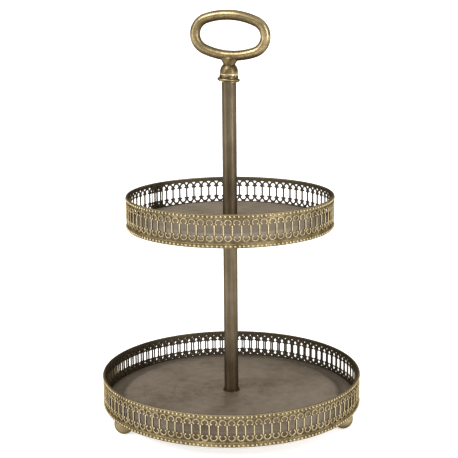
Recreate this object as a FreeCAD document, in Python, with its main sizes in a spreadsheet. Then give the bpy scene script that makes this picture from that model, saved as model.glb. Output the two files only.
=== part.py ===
"""Two-tier cake stand: two round trays with pierced gallery rims on a knock-down tube post.

Frame: millimetres, +Z up, origin on the ground under the centre of the post; -Y is the front.
From the ground up: three ball feet, the lower tray, the lower tube, the upper tray, the upper
tube, and a cast loop handle that screws down on a flared ferrule. Every piece is an object of
its own, and its Label is the name of its file in parts/.
"""

import FreeCAD, Part
import math
import os

import Sketcher

SIZES = [
    # Feet: solid brass balls with a small worn flat underneath and a flat seat on top.
    ("FootDia", 25.0, "ball diameter"),
    ("FootFlat", 0.3, "depth worn off the bottom of the ball"),
    ("FootGap", 0.15, "gap between a ball and the inner strip where the ball passes its bottom edge"),
    ("FootAzLeft", 208.0, "direction of the left front foot, degrees from +X"),
    ("FootAzRight", 337.0, "direction of the right front foot"),
    ("FootAzBack", 93.0, "direction of the back foot"),
    ("TrayLift", 18.5, "ground to the bottom edge of the lower gallery"),
    # Screws that hold the feet.
    ("FootScrewRad", 2.0, "M4 shank radius"),
    ("FootScrewDeep", 10.0, "thread length below the plate"),
    ("FootHeadRad", 4.0, "pan head radius"),
    ("FootHeadTall", 2.2, "pan head height"),
    ("FootSlotWide", 1.1, "driver slot width"),
    ("FootSlotDeep", 1.0, "driver slot depth"),
    # Trays.
    ("LowerRadius", 164.3, "outside of the lower gallery strip"),
    ("UpperRadius", 129.6, "outside of the upper gallery strip"),
    ("PlateThick", 1.2, "sheet thickness of both tray plates"),
    ("LedgeRise", 6.5, "gallery bottom to the top of the ledge round a plate"),
    ("LedgeWide", 17.0, "width of that ledge"),
    ("StepTall", 5.0, "height of the raised floor above the ledge"),
    ("StepWide", 8.0, "width of the slope between ledge and floor"),
    ("StepRound", 12.0, "inside bend radius at both ends of the slope"),
    ("LipTall", 5.0, "height of the downturned lip, from the top of the ledge"),
    ("LipRound", 2.0, "inside bend radius where a plate turns into its lip"),
    ("LipGap", 0.1, "gap between a lip and the strip around it"),
    # Gallery strip: one stamped pattern, cut to length for each tray.
    ("StripTall", 38.8, "height of the strip, without its rim"),
    ("StripThick", 1.0, "thickness of the strip"),
    ("UnitPitch", 10.55, "nominal width of one unit of the pattern"),
    ("PatternMid", 21.0, "strip bottom to the middle of the pattern"),
    ("SlotShare", 0.81, "width of the tall opening, as a share of the unit"),
    ("SlotHalf", 5.5, "middle of the pattern to the shoulder of the opening"),
    ("BeadShare", 0.26, "place of the scroll ends, as a share of the unit"),
    ("BeadRise", 7.1, "middle of the pattern to the scroll ends"),
    ("BeadRad", 1.05, "radius of the scroll ends"),
    ("LobeRise", 8.75, "middle of the pattern to the centre of the round lobe"),
    ("LobeRad", 3.0, "radius of the round lobe"),
    ("PeakShare", 0.55, "width of the small triangle, as a share of the unit"),
    ("PeakLow", 10.5, "middle of the pattern to the point of the triangle"),
    ("PeakHigh", 14.2, "middle of the pattern to the base of the triangle"),
    ("RimTall", 1.2, "height of the rim that closes the top of a gallery"),
    ("RimProud", 0.8, "how far the rim stands out past the strip"),
    ("RimBevel", 0.5, "bevel round the top of the rim"),
    # Second strips that lie inside the first where its ends were lapped and brazed.
    ("LapGap", 0.05, "gap between a lap strip and the main strip"),
    ("LapShift", 0.71, "offset of the lap pattern, as a share of the unit"),
    ("LowerLapFrom", 330.0, "direction where the lower lap begins, degrees from +X"),
    ("LowerLapSpan", 234.0, "angle that the lower lap covers"),
    ("UpperLapFrom", 131.0, "direction where the upper lap begins"),
    ("UpperLapSpan", 10.0, "angle that the upper lap covers"),
    # Post.
    ("TubeRad", 9.0, "outside radius of both tubes"),
    ("TubeWall", 1.5, "wall of both tubes"),
    ("LowerTubeLong", 228.8, "length of the lower tube"),
    ("UpperTubeLong", 172.0, "length of the upper tube"),
    ("PlugGap", 0.05, "gap between a plug and the tube it is brazed into"),
    ("PlugLong", 20.0, "length of each threaded plug"),
    ("StudRad", 4.0, "M8 thread radius"),
    ("ThreadGap", 0.05, "radial play of a screw in its thread"),
    ("StudHoleGap", 0.3, "radial play of a screw in a plain hole"),
    ("StudGrip", 14.0, "length of thread held in each plug"),
    ("CollarWide", 1.5, "tube to the outside of the collar brazed round the foot of the post"),
    ("CollarTall", 2.0, "height of that collar"),
    ("CollarGap", 0.05, "gap between that collar and the tube"),
    ("BackingRad", 33.0, "radius of the stiffening disc under the lower plate"),
    ("BackingThick", 1.5, "thickness of the stiffening disc"),
    ("WasherRad", 8.0, "outside radius of the base washer"),
    ("WasherThick", 1.6, "thickness of the base washer"),
    ("BoltAcross", 13.0, "width across the flats of the base bolt head"),
    ("BoltHeadTall", 5.3, "height of the base bolt head"),
    # Handle and ferrule.
    ("HandleTurn", -12.0, "turn of the casting and ferrule about the post, degrees"),
    ("HandleLean", 2.2, "lean of the casting in the plane of its loop, degrees"),
    ("LoopCant", 1.4, "further lean of the loop on its neck, degrees"),
    ("FerruleLean", 5.0, "lean of the ferrule, degrees"),
    ("FerruleTall", 5.5, "tube top to the seat of the casting"),
    ("SkirtDrop", 2.8, "length of tube covered by the skirt"),
    ("SkirtGap", 0.45, "radial gap between the skirt and the tube"),
    ("SkirtOut", 3.3, "tube to the outside of the ferrule at the lower bead"),
    ("NeckingOut", 1.9, "tube to the outside of the ferrule at the seat"),
    ("LowBeadRad", 1.7, "radius of the lower bead"),
    ("LowBeadRise", 2.1, "end of the skirt to the centre of the lower bead"),
    ("HighBeadRad", 0.6, "radius of the upper bead"),
    ("HighBeadDrop", 2.0, "seat to the centre of the upper bead"),
    ("BulbRad", 11.2, "radius of the bulb"),
    ("BulbHalfTall", 12.6, "half height of the bulb"),
    ("BulbRise", 2.7, "seat to the middle of the bulb"),
    ("NeckRad", 7.6, "radius of the neck between bulb and loop"),
    ("NeckRise", 12.9, "seat to the narrowest part of the neck"),
    ("NeckFlare", 15.0, "half width of the neck where it meets the loop"),
    ("LoopHalfWide", 43.9, "half width of the loop, on the centreline of its bar"),
    ("LoopHalfTall", 24.5, "half height of the loop, on the centreline of its bar"),
    ("LoopEndRad", 20.0, "radius of the two ends of the loop, on the centreline of its bar"),
    ("LoopBarRad", 6.25, "radius of the bar of the loop"),
    ("LoopRise", 47.4, "seat to the centre of the loop"),
    ("HandleThread", 11.0, "depth of thread in the casting"),
]

doc = FreeCAD.newDocument("CakeStand")
sheet = doc.addObject("Spreadsheet::Sheet", "Sizes")
for row, (alias, number, meaning) in enumerate(SIZES, start=1):
    sheet.set(f"A{row}", str(number))
    sheet.setAlias(f"A{row}", alias)
    sheet.set(f"B{row}", meaning)
doc.recompute()


def size(alias):
    """The number in the sheet, for the shapes that Part's own functions make."""
    return float(sheet.get(alias))


# Levels and radii that several pieces share, as expressions of the sheet.
FOOT_MID = "(Sizes.FootDia / 2 - Sizes.FootFlat)"
LEDGE_TOP = "(Sizes.TrayLift + Sizes.LedgeRise)"
LEDGE_UNDER = f"({LEDGE_TOP} - Sizes.PlateThick)"
LOWER_FLOOR = f"({LEDGE_TOP} + Sizes.StepTall)"
LOWER_UNDER = f"({LOWER_FLOOR} - Sizes.PlateThick)"
UPPER_UNDER = f"({LOWER_FLOOR} + Sizes.LowerTubeLong)"
UPPER_FLOOR = f"({UPPER_UNDER} + Sizes.PlateThick)"
UPPER_LIFT = f"({UPPER_FLOOR} - Sizes.StepTall - Sizes.LedgeRise)"
TUBE_TOP = f"({UPPER_FLOOR} + Sizes.UpperTubeLong)"
SEAT = f"({TUBE_TOP} + Sizes.FerruleTall)"
LAP_INSET = "(Sizes.StripThick + Sizes.LapGap)"
LIP_INSET = f"({LAP_INSET} + Sizes.StripThick + Sizes.LipGap)"
BALL_EDGE = f"sqrt(pow(Sizes.FootDia / 2; 2) - pow(Sizes.TrayLift - {FOOT_MID}; 2))"
FOOT_CIRCLE = (f"(Sizes.LowerRadius - {LAP_INSET} - Sizes.StripThick - Sizes.FootGap"
               f" - {BALL_EDGE})")
TUBE_BORE = "(Sizes.TubeRad - Sizes.TubeWall)"
SKIRT_RAD = "(Sizes.TubeRad + Sizes.SkirtOut)"
NECKING_RAD = "(Sizes.TubeRad + Sizes.NeckingOut)"
THREAD = "(Sizes.StudRad + Sizes.ThreadGap)"
PLAIN_HOLE = "(Sizes.StudRad + Sizes.StudHoleGap)"

pieces = []


def make(kind, name, **bound):
    """An object whose properties follow the sheet; x, y and z stand for its place."""
    thing = doc.addObject(kind, name)
    for key, expression in bound.items():
        path = f"Placement.Base.{key}" if key in ("x", "y", "z") else key
        thing.setExpression(path, expression)
    return thing


def cylinder(name, radius, height, z="0", **bound):
    return make("Part::Cylinder", name, Radius=radius, Height=height, z=z, **bound)


def cut(name, base, *tools):
    """The base less its tools, one after another."""
    for number, tool in enumerate(tools):
        last = number == len(tools) - 1
        step = doc.addObject("Part::Cut", name if last else f"{name}Step{number}")
        step.Base, step.Tool, step.Refine = base, tool, False
        base = step
    return base


def fuse(name, *shapes):
    joined = doc.addObject("Part::MultiFuse", name)
    joined.Shapes, joined.Refine = list(shapes), False
    return joined


def keep(thing, label):
    """Mark a finished piece; its Label names its file."""
    thing.Label = label
    pieces.append(thing)
    return thing


def sleeve(name, outer, inner, height, z="0"):
    """A round piece with a bore right through it."""
    return cut(name, cylinder(f"{name}Out", outer, height, z),
               cylinder(f"{name}Bore", inner, f"({height}) + 2", f"{z} - 1"))


# ---------------------------------------------------------------- feet and their screws
FEET = {"left": "Sizes.FootAzLeft", "right": "Sizes.FootAzRight", "back": "Sizes.FootAzBack"}
screw_holes = []
for side, azimuth in FEET.items():
    name = side.capitalize()
    place = {"x": f"{FOOT_CIRCLE} * cos({azimuth})", "y": f"{FOOT_CIRCLE} * sin({azimuth})"}
    ball = make("Part::Sphere", f"Ball{name}", Radius="Sizes.FootDia / 2", z=FOOT_MID,
                Angle1=f"-asin({FOOT_MID} / (Sizes.FootDia / 2))",
                Angle2=f"asin(({LEDGE_UNDER} - {FOOT_MID}) / (Sizes.FootDia / 2))", **place)
    tapped = cylinder(f"Tapped{name}", "Sizes.FootScrewRad + Sizes.ThreadGap",
                      "Sizes.FootScrewDeep + 2", f"{LEDGE_UNDER} - Sizes.FootScrewDeep - 1", **place)
    keep(cut(f"Foot{name}", ball, tapped), f"foot_{side}")

    screw_holes.append(cylinder(f"PlateHole{name}", "Sizes.FootScrewRad + Sizes.StudHoleGap",
                                "Sizes.PlateThick + 2", f"{LEDGE_UNDER} - 1", **place))
    head = cylinder(f"Head{name}", "Sizes.FootHeadRad", "Sizes.FootHeadTall", LEDGE_TOP, **place)
    shank = cylinder(f"Shank{name}", "Sizes.FootScrewRad", "Sizes.FootScrewDeep + Sizes.PlateThick",
                     f"{LEDGE_UNDER} - Sizes.FootScrewDeep", **place)
    slot = make("Part::Box", f"Slot{name}", Length="2 * Sizes.FootHeadRad + 2",
                Width="Sizes.FootSlotWide", Height="Sizes.FootSlotDeep + 1",
                x=f"{place['x']} - Sizes.FootHeadRad - 1",
                y=f"{place['y']} - Sizes.FootSlotWide / 2",
                z=f"{LEDGE_TOP} + Sizes.FootHeadTall - Sizes.FootSlotDeep")
    keep(cut(f"Screw{name}", fuse(f"ScrewBlank{name}", head, shank), slot), f"foot_screw_{side}")


# ---------------------------------------------------------------- tray plates
def plate(name, radius, z):
    """A sheet disc with a raised floor, a ledge and a bent lip: a revolved sketch, then its bends."""
    body = doc.addObject("PartDesign::Body", name)
    sketch = body.newObject("Sketcher::SketchObject", f"{name}Profile")
    plane = next(f for f in body.Origin.OriginFeatures if f.Role == "XZ_Plane")
    sketch.AttachmentSupport, sketch.MapMode = (plane, ""), "FlatFace"
    mitre = "Sizes.PlateThick * tan(atan(Sizes.StepTall / Sizes.StepWide) / 2)"
    foot = f"{radius} - Sizes.LedgeWide"
    head = f"{foot} - Sizes.StepWide"
    corners = [  # distance from the post, height above the ledge
        (PLAIN_HOLE, "Sizes.StepTall"),
        (head, "Sizes.StepTall"),
        (foot, "0"),
        (radius, "0"),
        (radius, "-Sizes.LipTall"),
        (f"{radius} - Sizes.PlateThick", "-Sizes.LipTall"),
        (f"{radius} - Sizes.PlateThick", "-Sizes.PlateThick"),
        (f"{foot} - {mitre}", "-Sizes.PlateThick"),
        (f"{head} - {mitre}", "Sizes.StepTall - Sizes.PlateThick"),
        (PLAIN_HOLE, "Sizes.StepTall - Sizes.PlateThick"),
    ]
    start = [FreeCAD.Vector(x, y, 0) for x, y in (
        (4, 5), (70, 5), (80, 0), (99, 0), (99, -5), (98, -5), (98, -1), (79, -1), (69, 4), (4, 4))]
    count = len(corners)
    for number, point in enumerate(start):
        sketch.addGeometry(Part.LineSegment(point, start[(number + 1) % count]), False)
    for number, (across, up) in enumerate(corners):
        sketch.addConstraint(Sketcher.Constraint("Coincident", number, 2, (number + 1) % count, 1))
        for kind, value, tag in (("DistanceX", across, "across"), ("DistanceY", up, "up")):
            begin = start[number].x if kind == "DistanceX" else start[number].y
            index = sketch.addConstraint(Sketcher.Constraint(kind, -1, 1, number, 1, begin))
            sketch.renameConstraint(index, f"{tag}{number}")
            sketch.setExpression(f"Constraints.{tag}{number}", value)
    turned = body.newObject("PartDesign::Revolution", f"{name}Turned")
    turned.Profile, turned.ReferenceAxis, turned.Angle = sketch, (sketch, ["V_Axis"]), 360
    body.setExpression("Placement.Base.z", z)

    last = turned
    for bend, radius_of_bend, at in (
            ("OuterStep", "Sizes.StepRound + Sizes.PlateThick", (1, 7)),
            ("InnerStep", "Sizes.StepRound", (2, 8)),
            ("OuterLip", "Sizes.LipRound + Sizes.PlateThick", (3,)),
            ("InnerLip", "Sizes.LipRound", (6,))):
        doc.recompute()
        edges = [circle_edge(last.Shape, sketch.getDatum(f"across{corner}").Value,
                             sketch.getDatum(f"up{corner}").Value) for corner in at]
        fillet = body.newObject("PartDesign::Fillet", f"{name}{bend}")
        fillet.Base = (last, edges)
        fillet.setExpression("Radius", radius_of_bend)
        last = fillet
    return body


def circle_edge(shape, radius, z):
    """The name of the circular edge of that radius at that height."""
    for number, edge in enumerate(shape.Edges, start=1):
        if (isinstance(edge.Curve, Part.Circle) and abs(edge.Curve.Radius - radius) < 1e-4
                and abs(edge.Curve.Center.z - z) < 1e-4):
            return f"Edge{number}"
    raise ValueError(f"no circle of radius {radius} at height {z}")


lower_blank = plate("LowerPan", f"(Sizes.LowerRadius - {LIP_INSET})", LEDGE_TOP)
keep(cut("LowerPlate", lower_blank, *screw_holes), "lower_plate")
keep(plate("UpperPan", f"(Sizes.UpperRadius - {LIP_INSET})", f"{UPPER_FLOOR} - Sizes.StepTall"),
     "upper_plate")


# ---------------------------------------------------------------- pierced galleries
def meeting_point(centre_a, radius_a, centre_b, radius_b):
    """The upper crossing of two circles."""
    gap = centre_b - centre_a
    along = (radius_a ** 2 - radius_b ** 2 + gap.Length ** 2) / (2 * gap.Length)
    aside = math.sqrt(radius_a ** 2 - along ** 2)
    unit = FreeCAD.Vector(gap).normalize()
    middle = centre_a + unit * along
    sideways = FreeCAD.Vector(-unit.y, unit.x, 0) * aside
    return max(middle + sideways, middle - sideways, key=lambda point: point.y)


def opening_face(pitch):
    """The tall opening between two bars: a slot with a round lobe past two scroll ends, twice."""
    half, shoulder = size("SlotShare") * pitch / 2, size("SlotHalf")
    bead = FreeCAD.Vector(size("BeadShare") * pitch, size("BeadRise"), 0)
    lobe = FreeCAD.Vector(0, size("LobeRise"), 0)
    throat = meeting_point(lobe, size("LobeRad"), bead, size("BeadRad"))
    inner = bead - FreeCAD.Vector(size("BeadRad"), 0, 0)
    below = bead - FreeCAD.Vector(0, size("BeadRad"), 0)
    crown = lobe + FreeCAD.Vector(0, size("LobeRad"), 0)
    corner = FreeCAD.Vector(half, shoulder, 0)

    def flip(point, x, y):
        return FreeCAD.Vector(point.x * x, point.y * y, 0)

    edges = []
    for y in (1, -1):
        edges.append(Part.Arc(flip(throat, 1, y), flip(crown, 1, y), flip(throat, -1, y)))
        for x in (1, -1):
            edges.append(Part.Arc(flip(throat, x, y), flip(inner, x, y), flip(below, x, y)))
            edges.append(Part.LineSegment(flip(below, x, y), flip(corner, x, y)))
    for x in (1, -1):
        edges.append(Part.LineSegment(flip(corner, x, 1), flip(corner, x, -1)))
    return Part.Face(Part.Wire(Part.__sortEdges__([edge.toShape() for edge in edges])))


def peak_face(pitch, up):
    """The small triangle beyond the end of each bar, pointing at the bar."""
    half = size("PeakShare") * pitch / 2
    base = [FreeCAD.Vector(x, up * size("PeakHigh"), 0) for x in (-half, half)]
    point = FreeCAD.Vector(0, up * size("PeakLow"), 0)
    return Part.Face(Part.makePolygon([base[0], base[1], point, base[0]]))


def piercings(name, radius, first, count, step, z):
    """Every opening of one strip, as one compound of radial prisms."""
    pitch = math.radians(step) * radius
    depth = 4 * size("StripThick")
    stamps = [(opening_face(pitch), 0.5), (peak_face(pitch, 1), 1.0), (peak_face(pitch, -1), 1.0)]
    prisms = []
    for number in range(count):
        for face, share in stamps:
            if share == 1.0 and number == count - 1 and count * step < 359:
                continue
            prism = face.extrude(FreeCAD.Vector(0, 0, depth))
            prism.rotate(FreeCAD.Vector(), FreeCAD.Vector(1, 0, 0), 90)
            prism.translate(FreeCAD.Vector(0, depth / 2 - radius, size("PatternMid")))
            prism.rotate(FreeCAD.Vector(), FreeCAD.Vector(0, 0, 1), first + 90 + step * (number + share))
            prisms.append(prism)
    stamped = doc.addObject("Part::Feature", name)
    stamped.Shape = Part.makeCompound(prisms)
    stamped.setExpression("Placement.Base.z", z)
    return stamped


def strip(name, radius, z, first=0.0, span=None, inset="0", shift=0.0):
    """A gallery strip: a thin band, whole or part of a circle, less its piercings."""
    units = round(2 * math.pi * size(radius) / size("UnitPitch"))
    step = 360.0 / units
    count = units if span is None else int(span / step)
    start = (round(first / step) + shift) * step
    outer, thick = f"(Sizes.{radius} - {inset})", "Sizes.StripThick"
    band = [cylinder(f"{name}{side}", reach, tall, low) for side, reach, tall, low in (
        ("Outer", outer, "Sizes.StripTall", z),
        ("Inner", f"{outer} - {thick}", "Sizes.StripTall + 2", f"{z} - 1"))]
    if span is not None:
        for wall in band:
            wall.Angle = count * step
            wall.Placement.Rotation = FreeCAD.Rotation(FreeCAD.Vector(0, 0, 1), start)
    middle = size(radius) - size("StripThick") / 2
    if inset != "0":
        middle -= size("StripThick") + size("LapGap")
    holes = piercings(f"{name}Holes", middle, start, count, step, z)
    return cut(name, cut(f"{name}Band", *band), holes)


LOW, HIGH = "Sizes.TrayLift", UPPER_LIFT
keep(strip("LowerGallery", "LowerRadius", LOW), "lower_gallery")
keep(strip("UpperGallery", "UpperRadius", HIGH), "upper_gallery")
keep(strip("LowerLap", "LowerRadius", LOW, size("LowerLapFrom"), size("LowerLapSpan"), LAP_INSET,
           size("LapShift")), "lower_gallery_lap")
keep(strip("UpperLap", "UpperRadius", HIGH, size("UpperLapFrom"), size("UpperLapSpan"), LAP_INSET,
           size("LapShift")), "upper_gallery_lap")

for tray, lift in (("Lower", LOW), ("Upper", HIGH)):
    outer, level = f"(Sizes.{tray}Radius + Sizes.RimProud)", f"({lift} + Sizes.StripTall)"
    wall = cylinder(f"{tray}RimWall", outer, "Sizes.RimTall - Sizes.RimBevel", level)
    bevel = make("Part::Cone", f"{tray}RimBevel", Radius1=outer, Radius2=f"{outer} - Sizes.RimBevel",
                 Height="Sizes.RimBevel", z=f"{level} + Sizes.RimTall - Sizes.RimBevel")
    inside = cylinder(f"{tray}RimInside", f"Sizes.{tray}Radius - Sizes.StripThick", "Sizes.RimTall + 2",
                      f"{level} - 1")
    keep(cut(f"{tray}Rim", fuse(f"{tray}RimBlank", wall, bevel), inside), f"{tray.lower()}_rim")

# ---------------------------------------------------------------- post
for tube, long, low in (("Lower", "Sizes.LowerTubeLong", LOWER_FLOOR),
                        ("Upper", "Sizes.UpperTubeLong", UPPER_FLOOR)):
    keep(sleeve(f"{tube}Tube", "Sizes.TubeRad", TUBE_BORE, long, low), f"{tube.lower()}_tube")
    for end, level in (("base", low), ("top", f"({low} + {long} - Sizes.PlugLong)")):
        plug = sleeve(f"{tube}{end.capitalize()}Plug", f"{TUBE_BORE} - Sizes.PlugGap", THREAD,
                      "Sizes.PlugLong", level)
        keep(plug, f"{tube.lower()}_tube_{end}_plug")

keep(cylinder("JoiningStud", "Sizes.StudRad", "2 * Sizes.StudGrip + Sizes.PlateThick",
              f"{UPPER_UNDER} - Sizes.StudGrip"), "joining_stud")
keep(sleeve("BaseCollar", "Sizes.TubeRad + Sizes.CollarWide", "Sizes.TubeRad + Sizes.CollarGap",
            "Sizes.CollarTall", LOWER_FLOOR), "base_collar")

disc_low = f"({LOWER_UNDER} - Sizes.BackingThick)"
washer_low = f"({disc_low} - Sizes.WasherThick)"
keep(sleeve("BackingDisc", "Sizes.BackingRad", PLAIN_HOLE, "Sizes.BackingThick", disc_low),
     "backing_disc")
keep(sleeve("BaseWasher", "Sizes.WasherRad", PLAIN_HOLE, "Sizes.WasherThick", washer_low),
     "base_washer")
hexagon = make("Part::Prism", "BoltHead", Circumradius="Sizes.BoltAcross / 2 / cos(30)",
               Height="Sizes.BoltHeadTall", z=f"{washer_low} - Sizes.BoltHeadTall")
hexagon.Polygon = 6
bolt_shank = cylinder("BoltShank", "Sizes.StudRad", f"{LOWER_FLOOR} + Sizes.StudGrip - {washer_low}",
                      washer_low)
keep(fuse("BaseBolt", hexagon, bolt_shank), "base_bolt")

# ---------------------------------------------------------------- ferrule
TILT = ("create(<<placement>>; create(<<vector>>; 0; 0; {seat}); "
        "create(<<rotation>>; Sizes.HandleTurn; {lean}; 0))").format

cone_tall = "(Sizes.FerruleTall + Sizes.SkirtDrop + 2)"
flare = make("Part::Cone", "FerruleFlare", Radius1=SKIRT_RAD, Radius2=NECKING_RAD,
             Height=cone_tall, z=f"2 - {cone_tall}")
low_bead = make("Part::Torus", "FerruleLowBead", Radius1=SKIRT_RAD, Radius2="Sizes.LowBeadRad",
                z="Sizes.LowBeadRise - Sizes.FerruleTall - Sizes.SkirtDrop")
high_bead = make("Part::Torus", "FerruleHighBead", Radius1=f"{NECKING_RAD} + Sizes.HighBeadRad / 2",
                 Radius2="Sizes.HighBeadRad", z="-Sizes.HighBeadDrop")
ferrule_blank = fuse("FerruleBlank", flare, low_bead, high_bead)
ferrule_blank.setExpression("Placement", TILT(seat=SEAT, lean="Sizes.FerruleLean"))
above_seat = cylinder("AboveSeat", f"{SKIRT_RAD} + 5", "10", SEAT)
tube_pocket = cylinder("TubePocket", "Sizes.TubeRad + Sizes.SkirtGap", "Sizes.SkirtDrop + 5",
                       f"{TUBE_TOP} - Sizes.SkirtDrop - 5")
ferrule_hole = cylinder("FerruleHole", PLAIN_HOLE, "Sizes.FerruleTall + 2", f"{TUBE_TOP} - 1")
keep(cut("Ferrule", ferrule_blank, above_seat, tube_pocket, ferrule_hole), "handle_ferrule")

# ---------------------------------------------------------------- handle
bulb = make("Part::Ellipsoid", "Bulb", Radius1="Sizes.BulbHalfTall", Radius2="Sizes.BulbRad",
            Radius3="Sizes.BulbRad", z="Sizes.BulbRise")
throat = make("Part::Circle", "NeckThroat", Radius="Sizes.NeckRad", z="Sizes.NeckRise")
root = make("Part::Circle", "NeckRoot", Radius="Sizes.NeckRad", z="Sizes.BulbRise")
crown = make("Part::Ellipse", "NeckCrown", MajorRadius="Sizes.NeckFlare",
             MinorRadius="Sizes.LoopBarRad - 0.3",
             z="Sizes.LoopRise - Sizes.LoopHalfTall - Sizes.LoopBarRad / 3")
neck = doc.addObject("Part::Loft", "Neck")
neck.Sections, neck.Solid, neck.Ruled = [root, throat, crown], True, False


def oval(name, half_wide, half_tall, end_radius):
    """A closed oval of four arcs in the XZ plane, about the origin, from its +X end round."""
    ends = half_wide - end_radius
    crown_radius = (ends ** 2 + half_tall ** 2 - end_radius ** 2) / (2 * (half_tall - end_radius))
    slant = math.atan2(crown_radius - half_tall, ends)

    def end_point(angle, side=1):
        return FreeCAD.Vector(side * (ends + end_radius * math.cos(angle)), 0,
                              end_radius * math.sin(angle))

    arcs = [(end_point(0), end_point(slant / 2), end_point(slant)),
            (end_point(slant), FreeCAD.Vector(0, 0, half_tall), end_point(slant, -1)),
            (end_point(slant, -1), end_point(0, -1), end_point(-slant, -1)),
            (end_point(-slant, -1), FreeCAD.Vector(0, 0, -half_tall), end_point(-slant)),
            (end_point(-slant), end_point(-slant / 2), end_point(0))]
    outline = doc.addObject("Part::Feature", name)
    outline.Shape = Part.Wire([Part.Arc(*points).toShape() for points in arcs])
    return outline


spine = oval("LoopSpine", size("LoopHalfWide"), size("LoopHalfTall"), size("LoopEndRad"))
section = make("Part::Circle", "LoopSection", Radius="Sizes.LoopBarRad", x="Sizes.LoopHalfWide")
loop = doc.addObject("Part::Sweep", "Loop")
loop.Sections, loop.Spine, loop.Solid, loop.Frenet = [section], (spine, []), True, True
loop.setExpression("Placement", "create(<<placement>>; create(<<vector>>; 0; 0; Sizes.LoopRise); "
                                "create(<<rotation>>; 0; Sizes.LoopCant; 0))")

casting_blank = fuse("CastingBlank", bulb, neck, loop)
casting_blank.setExpression("Placement", TILT(seat=SEAT, lean="Sizes.HandleLean"))
below_seat = cylinder("BelowSeat", "Sizes.BulbRad + 5", "10", f"{SEAT} - 10")
handle_bore = cylinder("HandleBore", THREAD, "Sizes.HandleThread + 1", f"{SEAT} - 1")
keep(cut("Handle", casting_blank, below_seat, handle_bore), "handle")
keep(cylinder("HandleStud", "Sizes.StudRad",
              "Sizes.HandleThread + Sizes.FerruleTall + Sizes.StudGrip",
              f"{TUBE_TOP} - Sizes.StudGrip"), "handle_stud")

# ---------------------------------------------------------------- checks and files
doc.recompute()
for thing in doc.Objects:
    if "Invalid" in thing.State or "Error" in thing.State:
        raise RuntimeError(f"{thing.Name} failed: {thing.State}")
labels = [piece.Label for piece in pieces]
if len(set(labels)) != len(labels):
    raise RuntimeError("two pieces share a Label")
os.makedirs("parts", exist_ok=True)
for piece in pieces:
    shape = piece.Shape
    if shape.isNull() or not shape.isValid() or len(shape.Solids) != 1:
        raise RuntimeError(f"{piece.Label} is not one valid solid")
    box = shape.optimalBoundingBox(False)
    print(f"{piece.Label:24s} {box.XLength:7.2f} {box.YLength:7.2f} {box.ZLength:7.2f}"
          f"  z {box.ZMin:7.2f} to {box.ZMax:7.2f}  volume {shape.Volume:10.1f}")
for piece in pieces:
    piece.Shape.exportStep(f"parts/{piece.Label}.step")
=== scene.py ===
"""Looks for the two-tier cake stand: stamped gallery relief, antiqued finishes, light and camera.

Metres, in the row frame: +Z up, -Y the front. Places come from the CAD nodes' boxes, and the
gallery's pattern repeats the sizes that the strips were pierced with.
"""

import math

import bpy
import numpy as np
from mathutils import Matrix, Vector


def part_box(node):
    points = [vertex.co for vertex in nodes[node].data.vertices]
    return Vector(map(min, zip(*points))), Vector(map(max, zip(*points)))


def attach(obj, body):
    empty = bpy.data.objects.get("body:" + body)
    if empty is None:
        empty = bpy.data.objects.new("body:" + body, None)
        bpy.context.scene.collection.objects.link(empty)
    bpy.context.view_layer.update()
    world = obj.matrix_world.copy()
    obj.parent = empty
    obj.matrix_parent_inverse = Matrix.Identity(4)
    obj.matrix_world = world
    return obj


MM = 0.001

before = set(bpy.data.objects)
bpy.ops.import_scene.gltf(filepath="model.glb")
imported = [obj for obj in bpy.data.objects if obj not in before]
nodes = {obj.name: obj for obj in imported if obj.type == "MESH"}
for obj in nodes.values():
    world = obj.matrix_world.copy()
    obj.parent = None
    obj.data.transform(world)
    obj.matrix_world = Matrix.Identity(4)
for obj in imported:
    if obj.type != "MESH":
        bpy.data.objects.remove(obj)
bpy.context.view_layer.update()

# ---------------------------------------------------------------- gallery pattern, in millimetres
UNIT_PITCH = 10.55      # nominal width of one unit of the stamping
PATTERN_MID = 21.0      # strip bottom to the middle of the pattern
BEAD_SHARE = 0.26       # scroll ends, as a share of the unit
BEAD_RISE, BEAD_RAD = 7.1, 1.05
BEAD_SWELL = 1.05       # radius of a raised scroll end, over the pierced one's
LOBE_RISE, LOBE_RAD = 8.75, 3.0
SCROLL_OUT = 0.85       # edge of the lobe to the middle of the scroll round it
SCROLL_FROM, SCROLL_TO = -38, 218   # ends of the horseshoe, degrees
CURL_SPAN = 26          # the degrees at each end over which it turns in
WIRE_RAD = 0.60         # half width of the raised scroll
WIRE_THIN = 0.25        # the share of it lost at the tips
BAR_HALF, BAR_WIDE, BAR_THICK = 6.2, 0.8, 0.8
BAR_FLARE = 0.45        # how much wider the bar is at its ends, as a share
PEARL_RAD = 1.55        # pearls of the two borders
PEARL_HIGH, PEARL_LOW = 37.3, 2.4
PEARL_PROUD = 0.1       # how far a pearl's middle stands off the strip
BALL_FLAT = 0.9         # height of a half ball, over its radius
EDGE_RAD = 0.45         # raised edge lines
EDGE_LOW, EDGE_HIGH = 4.9, 34.9
EDGE_SUNK = 0.1         # how far an edge line's axis lies inside the strip's outer face
EDGE_SEGMENT = 3.2      # length of its straight pieces
PROUD = 0.15            # how far the middle of a scroll, bar or scroll end stands off the strip
LAP_INSET = 1.05        # outer face of a lap strip, inside that of the main strip
LAP_SHIFT = 0.71        # offset of a lap's pattern, as a share of the unit
LOWER_LAP = (330.0, 234.0)  # where the lap begins and what it covers, degrees from +X
UPPER_LAP = (131.0, 10.0)
SCATTER = (0.010, 0.06, 0.05)   # spread of a unit's lean, slip along the strip and rise


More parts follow.
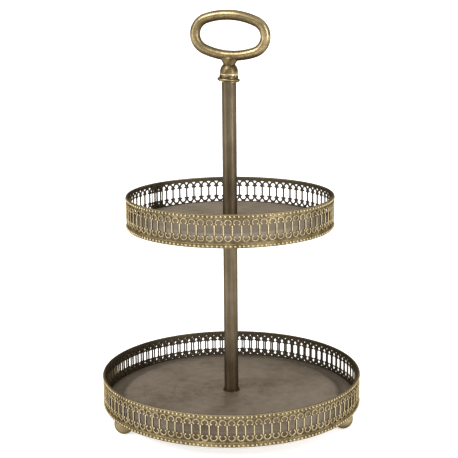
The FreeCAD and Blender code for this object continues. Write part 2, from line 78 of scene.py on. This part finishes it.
# ---------------------------------------------------------------- mesh helpers
def tube(points, radii, sides=8):
    """A closed round bar through points (u, v, w); radii is (across, out) at each point."""
    points = np.array(points, float)
    ahead = np.gradient(points, axis=0)
    ahead /= np.linalg.norm(ahead, axis=1)[:, None]
    out = np.array((0.0, 0.0, 1.0))
    verts, faces = [], []
    for point, along, (across, high) in zip(points, ahead, radii):
        side = np.cross(along, out)
        side /= np.linalg.norm(side)
        for k in range(sides):
            turn = 2 * math.pi * k / sides
            verts.append(point + side * across * math.cos(turn) + out * high * math.sin(turn))
    count = len(points)
    for ring in range(count - 1):
        for k in range(sides):
            a, b = ring * sides + k, ring * sides + (k + 1) % sides
            faces.append((a, b, b + sides, a + sides))
    faces.append(tuple(range(sides))[::-1])
    faces.append(tuple(range((count - 1) * sides, count * sides)))
    return np.array(verts), faces


def pearl(centre, radius, around=8, up=4):
    """The outer half of a ball, open towards the strip."""
    verts, faces = [], []
    for ring in range(up):
        tilt = math.pi / 2 * ring / up
        for k in range(around):
            turn = 2 * math.pi * k / around
            verts.append((centre[0] + radius * math.cos(tilt) * math.cos(turn),
                          centre[1] + radius * math.cos(tilt) * math.sin(turn),
                          centre[2] + radius * BALL_FLAT * math.sin(tilt)))
    verts.append((centre[0], centre[1], centre[2] + radius * BALL_FLAT))
    for ring in range(up - 1):
        for k in range(around):
            a, b = ring * around + k, ring * around + (k + 1) % around
            faces.append((a, b, b + around, a + around))
    last = (up - 1) * around
    faces += [(last + k, last + (k + 1) % around, up * around) for k in range(around)]
    return np.array(verts), faces


def gather(parts):
    """One set of vertices and faces from several."""
    verts, faces, start = [], [], 0
    for some, polygons in parts:
        verts.append(some)
        faces += [tuple(start + i for i in polygon) for polygon in polygons]
        start += len(some)
    return np.concatenate(verts), faces


def mesh_object(name, verts, faces, material, body="stand"):
    mesh = bpy.data.meshes.new(name)
    mesh.from_pydata([tuple(v) for v in verts], [], faces)
    mesh.validate()
    mesh.shade_smooth()
    mesh.materials.append(material)
    made = bpy.data.objects.new(name, mesh)
    bpy.context.scene.collection.objects.link(made)
    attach(made, body)
    return made


def scroll(up):
    """One horseshoe: over the lobe and in to the two scroll ends, thinner at the tips."""
    reach = LOBE_RAD + SCROLL_OUT
    steps = np.linspace(SCROLL_FROM, SCROLL_TO, 17)
    tip = (BEAD_SHARE * UNIT_PITCH, BEAD_RISE)
    points, radii = [], []
    for angle in steps:
        turn = math.radians(angle)
        u, v = reach * math.cos(turn), LOBE_RISE + reach * math.sin(turn)
        past = max(0.0, (SCROLL_FROM + CURL_SPAN - angle) / CURL_SPAN,
                   (angle - SCROLL_TO + CURL_SPAN) / CURL_SPAN)
        aim = tip[0] * (1 if angle < 90 else -1)
        u, v = u + (aim - u) * past, v + (tip[1] - v) * past
        thin = 1.0 - WIRE_THIN * past
        points.append((u, up * v, PROUD))
        radii.append((WIRE_RAD * thin, WIRE_RAD * thin))
    return tube(points, radii)


def unit_relief(pitch):
    """The raised metal of one unit, flat: two horseshoes, four scroll ends, a bar and pearls."""
    parts = [scroll(1), scroll(-1)]
    for x in (-1, 1):
        for y in (-1, 1):
            end = (x * BEAD_SHARE * UNIT_PITCH, y * BEAD_RISE, PROUD)
            parts.append(pearl(end, BEAD_RAD * BEAD_SWELL))
        for v in (PEARL_HIGH, PEARL_LOW):
            parts.append(pearl((x * pitch / 4, v - PATTERN_MID, PEARL_PROUD), PEARL_RAD))
    heights = np.linspace(-BAR_HALF, BAR_HALF, 9)
    waist = [(BAR_WIDE * (1 + BAR_FLARE * abs(v / BAR_HALF) ** 6), BAR_THICK) for v in heights]
    parts.append(tube([(-pitch / 2, v, PROUD) for v in heights], waist))
    return gather(parts)


def wrap(flat, radius, azimuth):
    """Flat (u, v, w) in millimetres onto a strip of that radius in metres, facing outwards."""
    angle = azimuth + flat[:, 0] * MM / radius
    reach = radius + flat[:, 2] * MM
    return np.stack([reach * np.cos(angle), reach * np.sin(angle), flat[:, 1] * MM], axis=1)


def relief(name, radius, bottom, material, first, count, step, seed):
    """count units of a strip from the angle first, each put a little off true at random."""
    rng = np.random.default_rng(seed)
    pitch = step * radius / MM
    flat, faces = unit_relief(pitch)
    verts, polygons = [], []
    for number in range(count):
        lean, slip, rise = rng.normal(0, SCATTER)
        moved = flat.copy()
        moved[:, 0] += lean * flat[:, 1] + slip
        moved[:, 1] += rise + PATTERN_MID
        verts.append(wrap(moved, radius, first + step * (number + 0.5)))
        polygons += [tuple(number * len(flat) + i for i in face) for face in faces]
    verts = np.concatenate(verts)
    verts[:, 2] += bottom
    return mesh_object(name, verts, polygons, material)


def edge_line(name, radius, height, thick, material):
    """A raised round line all the way round a strip."""
    count = int(2 * math.pi * radius / MM / EDGE_SEGMENT)
    sides, verts, faces = 8, [], []
    for n in range(count):
        angle = 2 * math.pi * n / count
        for k in range(sides):
            turn = 2 * math.pi * k / sides
            reach = radius + thick * math.cos(turn)
            verts.append((reach * math.cos(angle), reach * math.sin(angle),
                          height + thick * math.sin(turn)))
    for n in range(count):
        following = ((n + 1) % count - n) * sides
        for k in range(sides):
            a, b = n * sides + k, n * sides + (k + 1) % sides
            faces.append((a, a + following, b + following, b))
    return mesh_object(name, verts, faces, material)


# ---------------------------------------------------------------- materials
EDGE_TINT = (0.30, 0.25, 0.18, 1.0)     # reflection of the toned metal at a grazing angle


class Tree:
    """A material being built: short calls for the nodes that these finishes share."""

    def __init__(self, name):
        self.material = bpy.data.materials.new(name)
        self.material.use_nodes = True
        self.nodes, self.links = self.material.node_tree.nodes, self.material.node_tree.links
        self.shader = self.nodes["Principled BSDF"]
        self.place = self.nodes.new("ShaderNodeTexCoord")

    def node(self, kind, **settings):
        made = self.nodes.new(kind)
        for key, value in settings.items():
            setattr(made, key, value)
        return made

    def link(self, source, target):
        self.links.new(source, target)

    def noise(self, scale, detail=4.0, rough=0.55, stretch=None, distortion=0.0, source=None):
        made = self.node("ShaderNodeTexNoise")
        made.inputs["Scale"].default_value = scale
        made.inputs["Detail"].default_value = detail
        made.inputs["Roughness"].default_value = rough
        made.inputs["Distortion"].default_value = distortion
        source = self.place.outputs["Object"] if source is None else source
        if stretch is not None:
            mapping = self.node("ShaderNodeMapping")
            mapping.inputs["Scale"].default_value = stretch
            self.link(source, mapping.inputs["Vector"])
            source = mapping.outputs["Vector"]
        self.link(source, made.inputs["Vector"])
        return made.outputs["Fac"]

    def math(self, operation, a, b):
        made = self.node("ShaderNodeMath", operation=operation)
        for socket, value in zip(made.inputs, (a, b)):
            if isinstance(value, (int, float)):
                socket.default_value = value
            else:
                self.link(value, socket)
        return made.outputs[0]

    def ramp(self, source, *stops):
        made = self.node("ShaderNodeValToRGB")
        elements = made.color_ramp.elements
        for _ in range(len(stops) - 2):
            elements.new(0.5)
        for element, (place, colour) in zip(elements, stops):
            element.position = place
            element.color = (*colour, 1.0)
        self.link(source, made.inputs["Fac"])
        return made.outputs["Color"]

    def span(self, source, low, high, to_low=0.0, to_high=1.0):
        made = self.node("ShaderNodeMapRange")
        for key, value in (("From Min", low), ("From Max", high),
                           ("To Min", to_low), ("To Max", to_high)):
            made.inputs[key].default_value = value
        self.link(source, made.inputs["Value"])
        return made.outputs["Result"]

    def mix(self, factor, a, b):
        made = self.node("ShaderNodeMix", data_type="RGBA")
        for key, value in (("Factor", factor), ("A", a), ("B", b)):
            if isinstance(value, tuple):
                made.inputs[key].default_value = (*value, 1.0)
            else:
                self.link(value, made.inputs[key])
        return made.outputs["Result"]

    def radial(self):
        """Distance from the post, in metres, and how far the surface faces away from it."""
        flat = self.node("ShaderNodeVectorMath", operation="MULTIPLY")
        flat.inputs[1].default_value = (1, 1, 0)
        self.link(self.place.outputs["Object"], flat.inputs[0])
        length = self.node("ShaderNodeVectorMath", operation="LENGTH")
        self.link(flat.outputs[0], length.inputs[0])
        unit = self.node("ShaderNodeVectorMath", operation="NORMALIZE")
        self.link(flat.outputs[0], unit.inputs[0])
        facing = self.node("ShaderNodeVectorMath", operation="DOT_PRODUCT")
        self.link(unit.outputs[0], facing.inputs[0])
        self.link(self.place.outputs["Normal"], facing.inputs[1])
        return length.outputs["Value"], facing.outputs["Value"]

    def upward(self, output):
        """The Z part of the surface's place ("Object") or of the way it faces ("Normal")."""
        made = self.node("ShaderNodeSeparateXYZ")
        self.link(self.place.outputs[output], made.inputs[0])
        return made.outputs["Z"]

    def painted_shade_below(self):
        """1 where a surface faces the ground: painted shade under things."""
        return self.span(self.upward("Normal"), -0.85, 0.05, 1.0, 0.0)

    def rings(self, distance):
        """A place that depends on the distance from the post alone, for turned rings."""
        made = self.node("ShaderNodeCombineXYZ")
        self.link(self.math("MULTIPLY", distance, 260.0), made.inputs["X"])
        return made.outputs["Vector"]

    def bump(self, height, strength, distance):
        made = self.node("ShaderNodeBump")
        made.inputs["Strength"].default_value = strength
        made.inputs["Distance"].default_value = distance
        self.link(height, made.inputs["Height"])
        self.link(made.outputs["Normal"], self.shader.inputs["Normal"])

    def finish(self, colour, roughness, metallic=1.0):
        self.link(colour, self.shader.inputs["Base Color"])
        self.link(roughness, self.shader.inputs["Roughness"])
        self.shader.inputs["Metallic"].default_value = metallic
        self.shader.inputs["Specular Tint"].default_value = EDGE_TINT
        return self.material


def antique(name, dark, mid, bright, rough=(0.34, 0.55), grain=900.0, wear=0.5, shaded=0.0,
            collar=None):
    """Cast or turned brass, toned and rubbed back: dark in the pores, bright on worn places.

    rough is the roughness where it is bright and where it is dark. shaded darkens what faces the
    ground as painted shade under things. collar is the height below which the casting is darker
    towards its bottom, in metres.
    """
    t = Tree(name)
    clouds = t.noise(38.0, 5.0, 0.6)
    pores = t.noise(grain, 3.0, 0.65)
    edges = t.span(t.node("ShaderNodeNewGeometry").outputs["Pointiness"], 0.47, 0.56)
    tone = t.math("ADD", t.math("MULTIPLY", clouds, 0.6), t.math("MULTIPLY", pores, 0.4))
    tone = t.math("ADD", tone, t.math("MULTIPLY", t.math("SUBTRACT", edges, 0.5), wear))
    # painted shade: what faces the ground is made darker, as shade under things
    if shaded:
        tone = t.math("SUBTRACT", tone, t.math("MULTIPLY", t.painted_shade_below(), shaded))
    if collar is not None:
        # darker towards the bottom of the casting, fading out above the collar height
        low = t.span(t.upward("Object"), collar - 0.006, collar + 0.012, 0.06, 0.0)
        tone = t.math("SUBTRACT", tone, low)
    colour = t.ramp(tone, (0.30, dark), (0.50, mid), (0.72, bright))
    t.bump(t.math("ADD", pores, t.math("MULTIPLY", clouds, 2.0)), 0.35, 0.0003)
    return t.finish(colour, t.span(tone, 0.3, 0.75, rough[1], rough[0]), metallic=0.95)


def strip_metal(name, dark, mid, bright, inside, outer_radii):
    """Stamped strip: dark in the hollows and on its inner face, rubbed bright on the relief.

    outer_radii are those of both strips, so that one finish knows how proud a place stands.
    """
    t = Tree(name)
    distance, facing = t.radial()
    outer = t.math("GREATER_THAN", distance, sum(outer_radii) / 2)
    low, high = min(outer_radii), max(outer_radii)
    base = t.math("ADD", t.math("MULTIPLY", outer, high - low), low)
    height = t.span(t.math("SUBTRACT", distance, base), -0.0002, 0.0008)
    clouds = t.noise(55.0, 4.0, 0.6)
    specks = t.noise(700.0, 3.0, 0.6)
    tone = t.math("ADD", t.math("MULTIPLY", clouds, 0.60), t.math("MULTIPLY", specks, 0.50))
    tone = t.math("SUBTRACT", tone, 0.20)
    tone = t.math("ADD", tone, t.math("MULTIPLY", height, 0.5))
    colour = t.ramp(tone, (0.40, dark), (0.62, mid), (0.88, bright))
    turned = t.span(facing, -0.35, 0.25)
    colour = t.mix(turned, inside, colour)
    t.bump(specks, 0.3, 0.0002)
    return t.finish(colour, t.span(tone, 0.3, 0.9, 0.58, 0.36), metallic=0.9)


def sheet_metal(name, dark, mid, light, reach, ring=None):
    """Toned sheet plate: cloudy brown with faint turned rings, with painted shade towards its edge
    at reach, where the gallery shades it.

    ring is the radius of the disc under it, which shows through as a faint step.
    """
    t = Tree(name)
    distance, _ = t.radial()
    clouds = t.noise(14.0, 5.0, 0.6, distortion=0.4)
    mottle = t.noise(90.0, 4.0, 0.6)
    grain = t.noise(1200.0, 2.0, 0.5)
    tone = t.math("ADD", t.math("MULTIPLY", clouds, 0.55), t.math("MULTIPLY", mottle, 0.3))
    tone = t.math("ADD", tone, t.math("MULTIPLY", grain, 0.15))
    rings = t.noise(1.0, 3.0, 0.6, source=t.rings(distance))
    tone = t.math("ADD", tone, t.math("MULTIPLY", t.math("SUBTRACT", rings, 0.5), 0.22))
    colour = t.ramp(tone, (0.34, dark), (0.50, mid), (0.66, light))
    # painted shade: the margin next to the gallery is darkened, as the gallery shades it
    edge = t.span(distance, reach * 0.80, reach, 0.0, 0.45)
    colour = t.mix(edge, colour, dark)
    relief_height = t.math("ADD", t.math("MULTIPLY", clouds, 3.0), t.math("MULTIPLY", grain, 0.3))
    if ring is not None:
        step = t.span(distance, ring - 0.0015, ring + 0.0015, 1.0, 0.0)
        relief_height = t.math("ADD", relief_height, t.math("MULTIPLY", step, 2.0))
    t.bump(relief_height, 0.3, 0.0003)
    return t.finish(colour, t.span(tone, 0.3, 0.7, 0.5, 0.38), metallic=0.75)


def drawn_tube(name, dark, mid, light):
    """Toned tube: streaks along its length."""
    t = Tree(name)
    streaks = t.noise(260.0, 4.0, 0.6, stretch=(1, 1, 0.03))
    clouds = t.noise(22.0, 4.0, 0.6)
    tone = t.math("ADD", t.math("MULTIPLY", streaks, 0.5), t.math("MULTIPLY", clouds, 0.5))
    colour = t.ramp(tone, (0.34, dark), (0.50, mid), (0.68, light))
    t.bump(streaks, 0.2, 0.0002)
    return t.finish(colour, t.span(tone, 0.3, 0.7, 0.44, 0.30), metallic=0.85)


def plated_steel(name):
    """Dull zinc plate with a fine crystalline mottle."""
    t = Tree(name)
    mottle = t.noise(420.0, 4.0, 0.6)
    colour = t.ramp(mottle, (0.35, (0.30, 0.29, 0.27)), (0.65, (0.52, 0.51, 0.48)))
    t.bump(mottle, 0.2, 0.0002)
    return t.finish(colour, t.span(mottle, 0.3, 0.7, 0.5, 0.36))


def outer_radius(node):
    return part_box(node)[1].x


LOWER_R, UPPER_R = outer_radius("lower_gallery"), outer_radius("upper_gallery")
COLLAR_TALL = 0.014     # bottom of the casting to where its darkening towards the bottom fades
strip_finish = strip_metal(
    "gallery_brass", (0.105, 0.078, 0.038), (0.29, 0.225, 0.115), (0.52, 0.43, 0.26),
    inside=(0.105, 0.086, 0.060), outer_radii=(LOWER_R, UPPER_R))
rim_finish = antique(
    "rim_brass", (0.075, 0.058, 0.034), (0.15, 0.118, 0.070), (0.25, 0.20, 0.12),
    rough=(0.45, 0.60))
# the handle and the feet take painted shade on what faces the ground
cast_finish = antique(
    "cast_brass", (0.10, 0.072, 0.034), (0.31, 0.24, 0.125), (0.60, 0.49, 0.29),
    rough=(0.20, 0.40), grain=520.0, wear=0.7, shaded=0.34,
    collar=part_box("handle")[0].z + COLLAR_TALL)
foot_finish = antique(
    "foot_brass", (0.14, 0.108, 0.056), (0.30, 0.24, 0.13), (0.46, 0.38, 0.22), shaded=0.22)
lower_sheet = sheet_metal(
    "lower_sheet", (0.165, 0.132, 0.100), (0.295, 0.246, 0.190), (0.39, 0.33, 0.262),
    reach=outer_radius("lower_plate"), ring=outer_radius("backing_disc"))
# painted light: the upper plate takes the lower plate's toning made lighter, a lit copy of one
# finish
upper_sheet = sheet_metal(
    "upper_sheet", (0.26, 0.21, 0.16), (0.40, 0.335, 0.26), (0.50, 0.425, 0.335),
    reach=outer_radius("upper_plate"))
tube_finish = drawn_tube(
    "bronzed_tube", (0.062, 0.045, 0.026), (0.105, 0.081, 0.050), (0.17, 0.136, 0.088))
steel_finish = plated_steel("zinc_steel")

FINISHES = {
    "lower_gallery": strip_finish, "upper_gallery": strip_finish,
    "lower_gallery_lap": strip_finish, "upper_gallery_lap": strip_finish,
    "lower_rim": rim_finish, "upper_rim": rim_finish,
    "handle": cast_finish, "handle_ferrule": cast_finish,
    "foot_left": foot_finish, "foot_right": foot_finish, "foot_back": foot_finish,
    "lower_plate": lower_sheet, "backing_disc": lower_sheet, "upper_plate": upper_sheet,
    "lower_tube": tube_finish, "upper_tube": tube_finish, "base_collar": tube_finish,
}
for name, node in nodes.items():
    finish = FINISHES.get(name, steel_finish)
    for material_slot in node.material_slots:
        material_slot.material = finish

# ---------------------------------------------------------------- relief of both galleries
for tray, radius, lap, seed in (("lower", LOWER_R, LOWER_LAP, 3), ("upper", UPPER_R, UPPER_LAP, 5)):
    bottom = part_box(f"{tray}_gallery")[0].z
    units = round(2 * math.pi * (radius / MM) / UNIT_PITCH)
    step = 2 * math.pi / units
    relief(f"{tray}_gallery_relief", radius, bottom, strip_finish, 0.0, units, step, seed)
    first = (round(math.radians(lap[0]) / step) + LAP_SHIFT) * step
    count = int(math.radians(lap[1]) / step)
    relief(f"{tray}_lap_relief", radius - LAP_INSET * MM, bottom, strip_finish, first, count, step,
           seed + 10)
    for label, height in (("low", EDGE_LOW), ("high", EDGE_HIGH)):
        edge_line(f"{tray}_edge_{label}", radius - EDGE_SUNK * MM, bottom + height * MM,
                  EDGE_RAD * MM, strip_finish)

# ---------------------------------------------------------------- floor, light and camera
FLOOR_HALF = 60         # metres
FLOOR_PAINTED_GLOW = 0.66       # painted light: the floor glows by itself, which keeps shadows faint
SKY_STOPS = ((0.10, 0.16), (0.62, 1.0))     # height in the sky and its brightness there
SKY_STRENGTH = 0.80
CAMERA_PLACE = (0, -1.4426, 0.5565)
CAMERA_DOWN, CAMERA_YAW, CAMERA_ROLL = 12.24, 0.06, -0.48   # degrees

corners = [(x * FLOOR_HALF, y * FLOOR_HALF, 0) for x, y in ((-1, -1), (1, -1), (1, 1), (-1, 1))]
floor_mesh = bpy.data.meshes.new("floor")
floor_mesh.from_pydata(corners, [], [(0, 1, 2, 3)])
floor = bpy.data.objects.new("floor", floor_mesh)
bpy.context.scene.collection.objects.link(floor)
paint = bpy.data.materials.new("floor_white")
paint.use_nodes = True
# the floor's emission is painted light that fills in its shadows
for key, value in (("Base Color", (0.90, 0.90, 0.90, 1)), ("Roughness", 0.9),
                   ("Emission Color", (1, 1, 1, 1)), ("Emission Strength", FLOOR_PAINTED_GLOW)):
    paint.node_tree.nodes["Principled BSDF"].inputs[key].default_value = value
floor_mesh.materials.append(paint)

world = bpy.data.worlds.new("studio")
bpy.context.scene.world = world
world.use_nodes = True
sky = world.node_tree.nodes
sky_place, sky_split, sky_ramp = (sky.new(kind) for kind in (
    "ShaderNodeTexCoord", "ShaderNodeSeparateXYZ", "ShaderNodeValToRGB"))
for source, target in ((sky_place.outputs["Generated"], sky_split.inputs[0]),
                       (sky_split.outputs["Z"], sky_ramp.inputs["Fac"]),
                       (sky_ramp.outputs["Color"], sky["Background"].inputs["Color"])):
    world.node_tree.links.new(source, target)
for element, (height, level) in zip(sky_ramp.color_ramp.elements, SKY_STOPS):
    element.position, element.color = height, (level, level, level, 1)
sky["Background"].inputs["Strength"].default_value = SKY_STRENGTH


def lamp(name, kind, place, aim, energy, **settings):
    """A lamp at place that shines towards aim."""
    data = bpy.data.lights.new(name, kind)
    data.energy = energy
    for key, value in settings.items():
        setattr(data, key, value)
    made = bpy.data.objects.new(name, data)
    made.location = place
    made.rotation_mode = "QUATERNION"
    made.rotation_quaternion = (Vector(aim) - Vector(place)).to_track_quat("-Z", "Y")
    bpy.context.scene.collection.objects.link(made)


lamp("key", "SUN", (-1.3, -1.6, 1.9), (0, 0, 0), 2.1, angle=math.radians(30))
lamp("right_panel", "AREA", (1.3, -1.2, 0.75), (0, 0, 0.30), 14,
     shape="RECTANGLE", size=0.35, size_y=1.4)
lamp("left_panel", "AREA", (-1.5, -0.7, 0.9), (0, 0, 0.35), 8,
     shape="RECTANGLE", size=0.6, size_y=1.2)

camera_data = bpy.data.cameras.new("camera")
camera_data.sensor_width = 36.0
camera_data.lens = 92.0
camera_data.clip_start, camera_data.clip_end = 0.05, 200
camera = bpy.data.objects.new("camera", camera_data)
camera.matrix_world = (Matrix.Translation(CAMERA_PLACE)
                       @ Matrix.Rotation(math.radians(CAMERA_YAW), 4, "Z")
                       @ Matrix.Rotation(math.radians(90 - CAMERA_DOWN), 4, "X")
                       @ Matrix.Rotation(math.radians(CAMERA_ROLL), 4, "Z"))
bpy.context.scene.collection.objects.link(camera)
bpy.context.scene.camera = camera
bpy.context.scene.view_settings.view_transform = "Standard"
